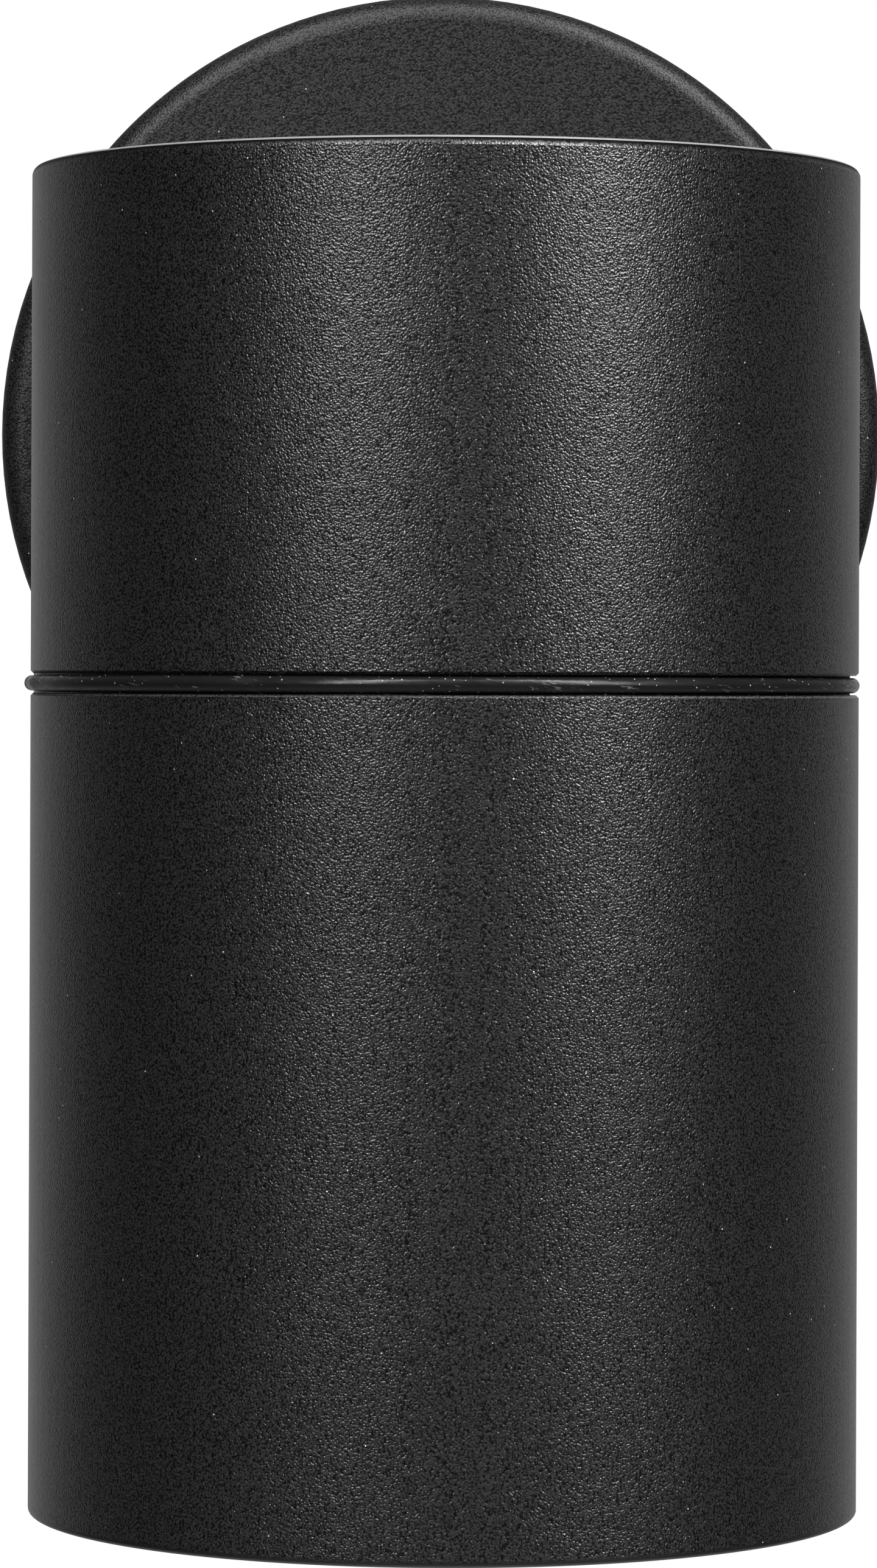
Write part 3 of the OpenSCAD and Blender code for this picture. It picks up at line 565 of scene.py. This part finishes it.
def phosphor():
    """Yellow silicone over a light source."""
    colour = bpy.context.scene.downlight_lamp.source_colour
    finish = Finish("phosphor", colour, 0.3)
    grain = finish.noise(0.15 * MM, detail=3)
    finish.colour(grain, shaded(colour, 0.9), shaded(colour, 1.1))
    finish.relief(grain, 0.01 * MM)
    return finish.material


# ---------- solids and meshes ----------


class Solid:
    """One separate solid of a CAD node, by its points."""

    def __init__(self, points):
        self.points = points

    def span(self, direction):
        reach = [point.dot(direction) for point in self.points]
        return min(reach), max(reach)

    def middle(self):
        return Vector([sum(self.span(axis)) / 2 for axis in (X, Y, Z)])

    def cap(self, direction):
        """Middle of the face that looks along direction."""
        middle = self.middle()
        return middle + direction * (self.span(direction)[1] - middle.dot(direction))


def solids(node):
    """The separate solids of a CAD node."""
    mesh = bmesh.new()
    mesh.from_mesh(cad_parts[node].data)
    bmesh.ops.remove_doubles(mesh, verts=mesh.verts, dist=0.5e-6)
    left, found = set(mesh.verts), []
    while left:
        reached = {left.pop()}
        front = set(reached)
        while front:
            front = {edge.other_vert(v) for v in front for edge in v.link_edges} - reached
            reached |= front
        left -= reached
        found.append(Solid([v.co.copy() for v in reached]))
    mesh.free()
    return sorted(found, key=lambda solid: tuple(solid.middle()))


def add_loft(mesh, loops, place):
    """Adds a closed skin over loops of equally many points, with a flat face at each end."""
    rows = [[mesh.verts.new(place @ Vector(point)) for point in loop] for loop in loops]
    count = len(rows[0])
    for lower, upper in zip(rows, rows[1:]):
        for k in range(count):
            n = (k + 1) % count
            mesh.faces.new((lower[k], lower[n], upper[n], upper[k]))
    mesh.faces.new(rows[0][::-1])
    mesh.faces.new(rows[-1])


def rectangle(half_x, half_y):
    """Corners of a rectangle round the origin."""
    return [(half_x, half_y), (-half_x, half_y), (-half_x, -half_y), (half_x, -half_y)]


def round_loop(radius, height, segments=SCREW_SEGMENTS):
    """Points on a circle; radius may be a function of the turn, from 0 to 1."""
    loop = []
    for k in range(segments):
        turn = k / segments
        reach = radius(turn) if callable(radius) else radius
        angle = math.tau * turn
        loop.append((reach * math.cos(angle), reach * math.sin(angle), height))
    return loop


def thread_loops(radius, pitch, start, end):
    """Loops of a threaded rod from start up to end, with a plain chamfer at start."""
    depth, rows_per_turn = 0.55 * pitch, 6
    rows = max(4, math.ceil((end - start) / pitch * rows_per_turn))
    loops = []
    for row in range(rows + 1):
        height = start + (end - start) * row / rows
        lead_in = min(1.0, 0.35 + (height - start) / pitch)

        def reach(turn, height=height, lead_in=lead_in):
            wave = abs(((height / pitch - turn) % 1.0) * 2 - 1)
            return radius - depth * max(wave * 1.2 - 0.2, 1 - lead_in)

        loops.append(round_loop(reach, height))
    return loops


def hexagon(across_flats):
    """Reach of a hexagon's outline as a function of the turn, from 0 to 1."""

    def reach(turn):
        angle = (math.tau * turn) % (math.pi / 3) - math.pi / 6
        return across_flats / 2 / math.cos(angle)

    return reach


def aim(point, direction):
    """Matrix that puts local z along direction at a point."""
    return Matrix.Translation(point) @ direction.to_track_quat("Z", "Y").to_matrix().to_4x4()


def make_piece(name, mesh, finish, body, *replaced):
    """Makes an object of a bmesh, with smooth faces and sharp creases, and lets it ride a body."""
    bmesh.ops.recalc_face_normals(mesh, faces=mesh.faces)
    for face in mesh.faces:
        face.smooth = True
    for edge in mesh.edges:
        edge.smooth = edge.calc_face_angle(0) < CREASE
    data = bpy.data.meshes.new(name)
    mesh.to_mesh(data)
    mesh.free()
    piece = bpy.data.objects.new(name, data)
    bpy.context.scene.collection.objects.link(piece)
    piece.data.materials.append(finish)
    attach(piece, body)
    if replaced:
        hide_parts(*replaced)
    return piece


def cut(piece, mesh):
    """Cuts a closed bmesh out of a piece."""
    data = bpy.data.meshes.new("cutter")
    bmesh.ops.recalc_face_normals(mesh, faces=mesh.faces)
    mesh.to_mesh(data)
    mesh.free()
    cutter = bpy.data.objects.new("cutter", data)
    bpy.context.scene.collection.objects.link(cutter)
    boolean = piece.modifiers.new("cut", "BOOLEAN")
    boolean.operation = "DIFFERENCE"
    boolean.object = cutter
    boolean.solver = "EXACT"
    shown = piece.evaluated_get(bpy.context.evaluated_depsgraph_get())
    result = bpy.data.meshes.new_from_object(shown)
    piece.modifiers.remove(boolean)
    old, piece.data = piece.data, result
    bpy.data.meshes.remove(old)
    bpy.data.objects.remove(cutter)
    bpy.data.meshes.remove(data)


def dress(finish, *nodes):
    """Gives CAD nodes a finish."""
    for node in nodes:
        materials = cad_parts[node].data.materials
        for index in range(len(materials)):
            materials[index] = finish


# ---------- screws ----------


def add_cross(recesses, place, reach, depth):
    """Adds the two tapered wedges of a cross-shaped recess, each to its own bmesh."""
    arm = reach * 0.24
    for across, recess in enumerate(recesses):
        loops = []
        for height, share in ((-depth, 0.35), (0.3 * depth, 1.15)):
            corners = rectangle(reach * share, arm * (0.6 + 0.4 * share))
            if across:
                corners = [(-y, x) for x, y in corners]
            loops.append([(x, y, height) for x, y in corners])
        add_loft(recess, loops, place)


def add_pan_screw(mesh, recesses, solid, outward, shank_r, pitch, flat_head=False):
    """Adds a threaded screw with a domed head over a CAD screw, and what to cut to recesses."""
    low, high = solid.span(outward)
    side = outward.orthogonal().normalized()
    side_low, side_high = solid.span(side)
    head_r = (side_high - side_low) / 2
    place = aim(solid.cap(outward), outward)
    head_h = head_r * (0.45 if flat_head else 0.62)
    loops = thread_loops(shank_r, pitch, low - high, -head_h - 0.35 * pitch)
    loops.append(round_loop(shank_r * 0.9, -head_h))
    for share, height in HEAD_PROFILE:
        loops.append(round_loop(head_r * share, head_h * height))
    add_loft(mesh, loops, place)
    if flat_head:
        slot, deep = rectangle(head_r * 1.1, 0.28 * MM), 0.5 * head_h
        loops = [[(x, y, height) for x, y in slot] for height in (-deep, deep)]
        add_loft(recesses[0], loops, place)
    else:
        add_cross(recesses, place, head_r * 0.52, head_h * 0.75)


def add_socket_screw(mesh, solid, outward, shank_r, pitch):
    """Adds a headless screw with a hexagon socket over a CAD screw."""
    low, high = solid.span(outward)
    length = high - low
    socket = hexagon(shank_r)
    loops = thread_loops(shank_r, pitch, -length, -0.12 * length)
    for radius, height in (
        (shank_r * 0.93, 0),
        (shank_r * 0.66, 0),
        (socket, -0.08 * length),
        (socket, -0.5 * length),
        (shank_r * 0.1, -0.62 * length),
    ):
        loops.append(round_loop(radius, height))
    add_loft(mesh, loops, aim(solid.cap(outward), outward))


def make_screws(node, finish, body, outward, shank_r, pitch, flat_head=False):
    """Puts threaded screws in place of a node's plain ones."""
    mesh, recesses = bmesh.new(), [bmesh.new() for _ in range(1 if flat_head else 2)]
    for solid in solids(node):
        add_pan_screw(mesh, recesses, solid, outward, shank_r, pitch, flat_head)
    piece = make_piece(node + "_threaded", mesh, finish, body, node)
    for recess in recesses:
        cut(piece, recess)


class DOWNLIGHT_OT_screws(bpy.types.Operator):
    """Puts threads and driven heads on every screw, and plates the washers and nuts"""

    bl_idname = "downlight.screws"
    bl_label = "Screws"

    def execute(self, context):
        parts = context.scene.downlight_parts
        steel = zinc_plate("zinc_plated_screw", brushed=0.5)
        coarse = (BIG_SHANK_R, parts.coarse_pitch)
        fine = (SMALL_SHANK_R, parts.fine_pitch)
        yellow = brass("brass_screw", (0.72, 0.54, 0.24), 0.3)
        make_screws("neck_screws", steel, FIXTURE, Y, *coarse)
        make_screws("bridge_screws", steel, FIXTURE, -Z, *coarse)
        make_screws("holder_screws", steel, FIXTURE, -Z, *fine)
        make_screws("earth_screw", yellow, FIXTURE, -Z, *coarse)
        make_screws("terminal_screws", steel, FIXTURE, -Y, *fine, flat_head=True)
        make_screws("terminal_fixings", steel, FIXTURE, -Y, *fine)
        black = black_oxide()
        plate_mesh, tube_mesh = bmesh.new(), bmesh.new()
        for solid in solids("plate_grub_screws"):
            outward = X if solid.middle().x > 0 else -X
            add_socket_screw(plate_mesh, solid, outward, *coarse)
        for solid in solids("tube_set_screws"):
            outward = solid.middle() - Vector((0, AXIS_Y, solid.middle().z))
            add_socket_screw(tube_mesh, solid, outward.normalized(), *coarse)
        for node, mesh, body in (
            ("plate_grub_screws", plate_mesh, FIXTURE),
            ("tube_set_screws", tube_mesh, LOWER),
        ):
            piece = make_piece(node + "_threaded", mesh, black, body, node)
        dress(steel, "neck_washers", "holder_nuts")
        return {"FINISHED"}


# ---------- castings, rubber and sheet metal ----------


class DOWNLIGHT_OT_castings(bpy.types.Operator):
    """Coats the wall plate, the upper housing with its neck, and the lower tube"""

    bl_idname = "downlight.castings"
    bl_label = "Castings"

    def execute(self, context):
        dress(powder_coat(), "upper_housing", "lower_tube")
        softer = powder_coat("plate_powder_coat", depth=0.8, gloss=0.17, dulled=0.14, edges=0.0)
        dress(softer, "wall_plate")
        return {"FINISHED"}


class DOWNLIGHT_OT_seals(bpy.types.Operator):
    """Finishes the ring in the seam, the gaskets, the bush and the grommet"""

    bl_idname = "downlight.seals"
    bl_label = "Seals"

    def execute(self, context):
        dress(ring_rubber(), "joint_ring")
        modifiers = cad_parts["joint_ring"].modifiers
        modifiers.new("joined", "WELD").merge_threshold = 0.001 * MM
        squeeze = modifiers.new("squeeze", "DISPLACE")
        squeeze.strength, squeeze.mid_level = 0.08 * MM, 0
        dress(soft_rubber(), "neck_gasket", "lead_bush", "cable_grommet")
        dress(closed_foam(), "wall_gasket")
        dress(silicone(), "glass_gasket")
        return {"FINISHED"}


class DOWNLIGHT_OT_metalwork(bpy.types.Operator):
    """Finishes the bracket, the bridge, the retaining ring and the terminals"""

    bl_idname = "downlight.metalwork"
    bl_label = "Metalwork"

    def execute(self, context):
        dress(zinc_plate(), "mounting_bracket", "lampholder_bridge")
        dress(spring_steel(), "glass_retaining_ring")
        dress(brass("clamp_brass", (0.72, 0.55, 0.26), 0.32), "terminal_clamps")
        dress(brass("tinned_brass", (0.66, 0.64, 0.58), 0.3), "holder_contacts", "earth_terminal")
        dress(moulded_plastic("block_plastic", (0.78, 0.76, 0.69), 0.5), "terminal_block")
        dress(steatite(), "lampholder")
        return {"FINISHED"}


# ---------- leads ----------


def make_lead(name, node, colour, stations):
    """Makes a lead along stations, each a point with the handles before and after it."""
    curve = bpy.data.curves.new(name, "CURVE")
    curve.dimensions = "3D"
    curve.resolution_u = 16
    curve.bevel_depth = bpy.context.scene.downlight_parts.lead_diameter / 2
    curve.bevel_resolution = 5
    curve.use_fill_caps = True
    spline = curve.splines.new("BEZIER")
    spline.bezier_points.add(len(stations) - 1)
    for knot, (point, before, after) in zip(spline.bezier_points, stations):
        knot.handle_left_type = knot.handle_right_type = "FREE"
        knot.co = point
        knot.handle_left = point + before
        knot.handle_right = point + after
    curve.materials.append(moulded_plastic(name + "_insulation", colour, 0.38, 0.006 * MM))
    piece = bpy.data.objects.new(name, curve)
    bpy.context.scene.collection.objects.link(piece)
    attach(piece, FIXTURE)
    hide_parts(node)


def stations_to_neck(clamp, turn):
    """A lead's run from its clamp in the block to the neck's far end, and where it goes on."""
    radius = bpy.context.scene.downlight_parts.lead_diameter * 0.68
    angle = math.radians(turn)
    offset = Vector((radius * math.cos(angle), 0, radius * math.sin(angle)))
    block_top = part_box("terminal_block")[1].z
    middle = clamp.middle()
    entry = Vector((middle.x, middle.y, block_top - 5 * MM))
    mouth = Vector((middle.x, middle.y, block_top))
    inside = offset + Y * (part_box("lead_bush")[1].y + 0.2 * MM)
    leaving = offset + Y * (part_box("neck_gasket")[1].y - 14 * MM)
    return [
        (entry, -Z * MM, Z * MM),
        (mouth, -Z * MM, Z * 9 * MM),
        (inside, Y * 9 * MM, -Y * 3 * MM),
        (leaving, Y * 3 * MM, -Y * MM),
    ], leaving - Y * 3.5 * MM


class DOWNLIGHT_OT_leads(bpy.types.Operator):
    """Runs the three leads from the terminal block through the neck"""

    bl_idname = "downlight.leads"
    bl_label = "Leads"

    def execute(self, context):
        left, middle, right = solids("terminal_clamps")
        bridge_low, bridge_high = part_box("lampholder_bridge")
        for side, name, clamp, colour in (
            (-1, "live", left, (0.20, 0.085, 0.035)),
            (1, "neutral", right, (0.03, 0.10, 0.42)),
        ):
            stations, start = stations_to_neck(clamp, 270 + side * 60)
            finish = Vector((side * 4 * MM, AXIS_Y, bridge_high.z + 2 * MM))
            stations.append((start, Y * MM, -Y * 0.62 * TUBE_R))
            stations.append((finish, Z * 0.53 * TUBE_R, -Z * MM))
            below = Vector((finish.x, finish.y, bridge_low.z - 3 * MM))
            stations.append((below, Z * MM, -Z * MM))
            make_lead(f"{name}_lead", f"lead_{name}", colour, stations)
        stations, start = stations_to_neck(middle, 90)
        tag_low, tag_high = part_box("earth_terminal")
        barrel_z = tag_high.z - 0.4 * MM - context.scene.downlight_parts.lead_diameter / 2
        finish = Vector(((tag_low.x + tag_high.x) / 2, tag_high.y + 0.5 * MM, barrel_z))
        stations.append((start, Y * MM, -Y * 6 * MM))
        stations.append((finish, Y * 9 * MM, -Y * MM))
        stations.append((finish - Y * 5 * MM, Y * MM, -Y * MM))
        make_lead("earth_lead", "lead_earth", (0.07, 0.36, 0.08), stations)
        return {"FINISHED"}


# ---------- lamp and glass ----------


def lens_cup(mesh, centre, radius, depth, place):
    """Adds a shallow dome that stands down from the lens plate."""
    loops = []
    for share in (0.0, 0.25, 0.5, 0.7, 0.86, 0.97):
        circle = round_loop(radius * math.sqrt(1 - share * share), -depth * share, CUP_SEGMENTS)
        loops.append([(x + centre[0], y + centre[1], z) for x, y, z in circle])
    add_loft(mesh, loops, place)


class DOWNLIGHT_OT_lamp(bpy.types.Operator):
    """Finishes the lamp, and gives it a lens plate over its light sources"""

    bl_idname = "downlight.lamp"
    bl_label = "Lamp"

    def execute(self, context):
        lamp = context.scene.downlight_lamp
        dress(moulded_plastic("lamp_shell", lamp.shell_colour, 0.42), "lamp_body")
        dress(moulded_plastic("lamp_base", shaded(lamp.shell_colour, 1.05), 0.3), "lamp_base")
        dress(brass("nickel_pin", (0.66, 0.65, 0.61), 0.18), "lamp_pins")
        low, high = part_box("lamp_lens")
        radius = (high.x - low.x) / 2
        place = Matrix.Translation((0, AXIS_Y, low.z + 0.9 * MM))
        plate = bmesh.new()
        profile = ((1.0, 0.5), (1.0, -0.9), (0.93, -0.9), (0.90, -0.2))
        loops = [round_loop(radius * r, z * MM, LENS_SEGMENTS) for r, z in profile]
        add_loft(plate, loops, place)
        ring_r, cup_r, cup_depth = 0.6 * radius, 0.24 * radius, 0.7 * MM
        spots = [(0.0, 0.0)]
        for k in range(lamp.sources):
            angle = math.tau * k / lamp.sources
            spots.append((ring_r * math.cos(angle), ring_r * math.sin(angle)))
        place = Matrix.Translation((0, AXIS_Y, low.z + 0.75 * MM))
        for spot in spots:
            lens_cup(plate, spot, cup_r, cup_depth, place)
        piece = make_piece("lens_plate", plate, lens_plastic(), LAMP, "lamp_lens")
        board, dots = bmesh.new(), bmesh.new()
        seat = Matrix.Translation((0, AXIS_Y, high.z - 0.05 * MM))
        faces = [round_loop(radius, height, LENS_SEGMENTS) for height in (0, -0.25 * MM)]
        add_loft(board, faces, seat)
        square = rectangle(1.5 * MM, 1.5 * MM)
        for x, y in spots:
            loops = [
                [(x + u * share, y + v * share, height * MM) for u, v in square]
                for share, height in ((1.0, -0.2), (1.0, -0.5), (0.85, -0.6))
            ]
            add_loft(dots, loops, seat)
        mask = moulded_plastic("solder_mask", (0.85, 0.85, 0.83), 0.35)
        make_piece("lamp_board", board, mask, LAMP)
        make_piece("light_sources", dots, phosphor(), LAMP)
        return {"FINISHED"}


class DOWNLIGHT_OT_glass(bpy.types.Operator):
    """Finishes the front glass"""

    bl_idname = "downlight.glass"
    bl_label = "Glass"

    def execute(self, context):
        dress(toughened_glass(), "front_glass")
        return {"FINISHED"}


# ---------- stage ----------


CAMERA_ASIDE, CAMERA_SHIFT = -6 * MM, -0.0695
CAMERA_ROLL, CAMERA_TURN = math.radians(-0.2), math.radians(-0.462)
LIGHT_RISE, LIGHT_DISTANCE, LIGHT_HEIGHT = math.radians(42), 1.9, 2.1
# Strength of the surroundings: for diffuse light, and for gloss in front and behind.
DIM, GLOSS_FRONT, GLOSS_BEHIND = 0.20, 0.04, 0.45
FLOOR_RADIUS = 6


def soft_light(name, power, azimuth, width):
    """Adds a tall soft light aimed at the seam; azimuth 0 is in front, and positive is right."""
    data = bpy.data.lights.new(name, "AREA")
    data.shape = "RECTANGLE"
    data.size = width
    data.size_y = LIGHT_HEIGHT
    data.energy = power
    a, e = math.radians(azimuth), LIGHT_RISE
    away = Vector((math.sin(a) * math.cos(e), -math.cos(a) * math.cos(e), math.sin(e)))
    light = bpy.data.objects.new(name, data)
    light.location = Vector((0, AXIS_Y, SEAM_Z)) + away * LIGHT_DISTANCE
    light.rotation_euler = away.to_track_quat("Z", "Y").to_euler()
    light.visible_camera = False
    bpy.context.scene.collection.objects.link(light)


def studio_world():
    """White for the camera and through glass, whiter behind the light in gloss, dim elsewhere."""
    world = bpy.data.worlds.new("studio")
    world.use_nodes = True
    background = world.node_tree.nodes["Background"]
    background.inputs["Color"].default_value = (1, 1, 1, 1)
    sky = Shading(world.node_tree)
    direction = sky.node("ShaderNodeTexCoord", output="Generated")
    inward = sky.node("ShaderNodeSeparateXYZ", None, {0: direction}, "Y")
    inputs = {
        "Value": inward,
        "From Min": 0.25,
        "From Max": 1.05,
        "To Min": GLOSS_FRONT,
        "To Max": GLOSS_BEHIND,
    }
    behind = sky.node("ShaderNodeMapRange", {"interpolation_type": "SMOOTHSTEP"}, inputs)
    rays = ("Is Camera Ray", "Is Transmission Ray", "Is Glossy Ray")
    seen, through, glossy = (sky.node("ShaderNodeLightPath", output=ray) for ray in rays)
    dim = sky.node("ShaderNodeMix", None, {"Factor": glossy, "A": DIM, "B": behind})
    level = seen.math("MAXIMUM", seen.math("MAXIMUM", seen, through), dim)
    sky.fill(background.inputs["Strength"], level)
    return world


class DOWNLIGHT_OT_stage(bpy.types.Operator):
    """Sets up the camera, the soft lights, the white surroundings and the floor"""

    bl_idname = "downlight.stage"
    bl_label = "Stage"

    def execute(self, context):
        scene, stage = context.scene, context.scene.downlight_stage
        scene.view_settings.view_transform = "Standard"
        scene.world = studio_world()
        lens = bpy.data.cameras.new("camera")
        lens.lens = stage.lens
        lens.sensor_width = 36
        lens.shift_y = CAMERA_SHIFT
        lens.clip_start, lens.clip_end = 0.01, 100
        camera = bpy.data.objects.new("camera", lens)
        camera.location = (CAMERA_ASIDE, AXIS_Y - stage.camera_distance, SEAM_Z)
        camera.rotation_euler = (math.radians(90), CAMERA_ROLL, CAMERA_TURN)
        scene.collection.objects.link(camera)
        scene.camera = camera
        soft_light("left_soft_light", stage.left_power, azimuth=-26, width=0.20)
        soft_light("right_soft_light", stage.right_power, azimuth=45, width=0.28)
        mesh = bmesh.new()
        bmesh.ops.create_circle(mesh, cap_ends=True, segments=128, radius=FLOOR_RADIUS)
        data = bpy.data.meshes.new("floor")
        mesh.to_mesh(data)
        mesh.free()
        floor = bpy.data.objects.new("floor", data)
        floor.location.z = -stage.floor_drop
        scene.collection.objects.link(floor)
        finish = Finish("pale_floor", stage.floor_colour, 0.8)
        cloud = finish.noise(0.4, detail=3)
        colour = stage.floor_colour
        finish.colour(cloud, shaded(colour, 0.98), shaded(colour, 1.02))
        data.materials.append(finish.material)
        return {"FINISHED"}


# ---------- panel and registration ----------


class DOWNLIGHT_PT_build(bpy.types.Panel):
    """Lists the settings and the steps of the downlight"""

    bl_idname = "DOWNLIGHT_PT_build"
    bl_label = "Wall downlight"
    bl_space_type = "VIEW_3D"
    bl_region_type = "UI"
    bl_category = "Downlight"

    def draw(self, context):
        for title, settings in SETTINGS.items():
            box = self.layout.box()
            group = getattr(context.scene, title)
            for name in settings.__annotations__:
                box.prop(group, name)
        for step in STEPS:
            self.layout.operator(step.bl_idname)


SETTINGS = {
    "downlight_coat": CoatSettings,
    "downlight_parts": SmallPartSettings,
    "downlight_lamp": LampSettings,
    "downlight_stage": StageSettings,
}
STEPS = (
    DOWNLIGHT_OT_stage,
    DOWNLIGHT_OT_castings,
    DOWNLIGHT_OT_seals,
    DOWNLIGHT_OT_metalwork,
    DOWNLIGHT_OT_screws,
    DOWNLIGHT_OT_leads,
    DOWNLIGHT_OT_lamp,
    DOWNLIGHT_OT_glass,
)
CLASSES = (*SETTINGS.values(), *STEPS, DOWNLIGHT_PT_build)


def register():
    for item in CLASSES:
        bpy.utils.register_class(item)
    for name, settings in SETTINGS.items():
        setattr(bpy.types.Scene, name, bpy.props.PointerProperty(type=settings))


def unregister():
    for name in SETTINGS:
        delattr(bpy.types.Scene, name)
    for item in reversed(CLASSES):
        bpy.utils.unregister_class(item)


def main():
    register()
    for step in STEPS:
        group, name = step.bl_idname.split(".")
        getattr(getattr(bpy.ops, group), name)()


if __name__ == "__main__":
    main()
